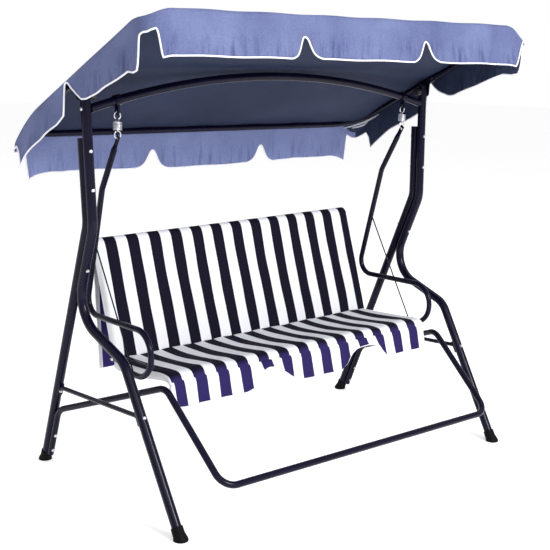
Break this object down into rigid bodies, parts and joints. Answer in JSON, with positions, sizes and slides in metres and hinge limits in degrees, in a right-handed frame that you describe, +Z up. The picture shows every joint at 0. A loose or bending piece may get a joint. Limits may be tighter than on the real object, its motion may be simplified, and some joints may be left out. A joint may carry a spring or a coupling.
{
  "type": "canopy swing bench",
  "caption": "Three-seat garden swing bench on two springs in a bolted tube frame, with a striped sling cover and a tilting scalloped canopy.",
  "frame": {"origin": "on the floor under the middle of the whole bench", "axes": "+X along the bench to the right of a person looking at its front, -Y towards the front, +Z up"},
  "size_m": [1.616, 0.9648, 1.5592],
  "materials": {
    "frame_paint": "dark navy gloss powder coat",
    "zinc": "bright zinc plate",
    "foot_rubber": "matt black",
    "knob_plastic": "moulded black, satin",
    "canopy_cloth": "blue coated polyester with white piping",
    "striped_cloth": "woven polyester with navy and white stripes"
  },
  "bodies": {
    "frame": {"left_front_leg": "frame_paint", "left_rear_leg": "frame_paint", "left_front_foot": "foot_rubber", "left_rear_foot": "foot_rubber", "left_brace": "frame_paint", "left_spring_eye": "frame_paint", "left_leg_bolt_upper": "zinc", "left_leg_bolt_middle": "zinc", "left_leg_bolt_lower": "zinc", "left_base_bolt_upper": "zinc", "left_base_bolt_lower": "zinc", "left_brace_bolt_front": "zinc", "left_brace_bolt_rear": "zinc", "left_arch_bolt": "zinc", "right_front_leg": "frame_paint", "right_rear_leg": "frame_paint", "right_front_foot": "foot_rubber", "right_rear_foot": "foot_rubber", "right_brace": "frame_paint", "right_spring_eye": "frame_paint", "right_leg_bolt_upper": "zinc", "right_leg_bolt_middle": "zinc", "right_leg_bolt_lower": "zinc", "right_base_bolt_upper": "zinc", "right_base_bolt_lower": "zinc", "right_brace_bolt_front": "zinc", "right_brace_bolt_rear": "zinc", "right_arch_bolt": "zinc", "arch_bar": "frame_paint", "base_tube": "frame_paint"},
    "springs": {"left_spring": "zinc", "right_spring": "zinc"},
    "spring_hooks": {"left_spring_hook": "zinc", "right_spring_hook": "zinc"},
    "seat": {"left_arm": "frame_paint", "left_stay_rod": "frame_paint", "left_arm_bolt_front": "zinc", "left_arm_bolt_rear": "zinc", "left_seat_side": "frame_paint", "left_rail_bolt": "zinc", "right_arm": "frame_paint", "right_stay_rod": "frame_paint", "right_arm_bolt_front": "zinc", "right_arm_bolt_rear": "zinc", "right_seat_side": "frame_paint", "right_rail_bolt": "zinc", "front_rail": "frame_paint", "rear_rail": "frame_paint", "top_rail": "frame_paint", "back_cover": "striped_cloth", "seat_cover": "striped_cloth"},
    "canopy": {"left_canopy_bracket": "frame_paint", "right_canopy_bracket": "frame_paint", "canopy_front_rail": "frame_paint", "canopy_rear_rail": "frame_paint", "canopy_cover": "canopy_cloth"},
    "left_knob": {"left_canopy_knob": "knob_plastic"},
    "right_knob": {"right_canopy_knob": "knob_plastic"}
  },
  "joints": [
    {"name": "spring_swing", "type": "hinge", "parent": "frame", "child": "springs", "pos_m": [0, 0.0535, 1.257], "axis": [1, 0, 0], "range_deg": [-18, 18]},
    {"name": "spring_stretch", "type": "slide", "parent": "springs", "child": "spring_hooks", "axis": [0, 0, -1], "range_m": [0, 0.012], "stiffness_N_per_m": 60000, "springref_m": -0.00191, "deforming": ["left_spring", "right_spring"]},
    {"name": "seat_swing", "type": "hinge", "parent": "spring_hooks", "child": "seat", "pos_m": [0, 0.0535, 1.174], "axis": [1, 0, 0], "range_deg": [-6, 6]},
    {"name": "canopy_tilt", "type": "hinge", "parent": "frame", "child": "canopy", "pos_m": [0, 0.0555, 1.312], "axis": [1, 0, 0], "range_deg": [-5, 22]},
    {"name": "left_knob_turn", "type": "hinge", "parent": "frame", "child": "left_knob", "pos_m": [-0.76, 0.0555, 1.312], "axis": [1, 0, 0], "continuous": true},
    {"name": "right_knob_turn", "type": "hinge", "parent": "frame", "child": "right_knob", "pos_m": [0.76, 0.0555, 1.312], "axis": [1, 0, 0], "continuous": true}
  ]
}
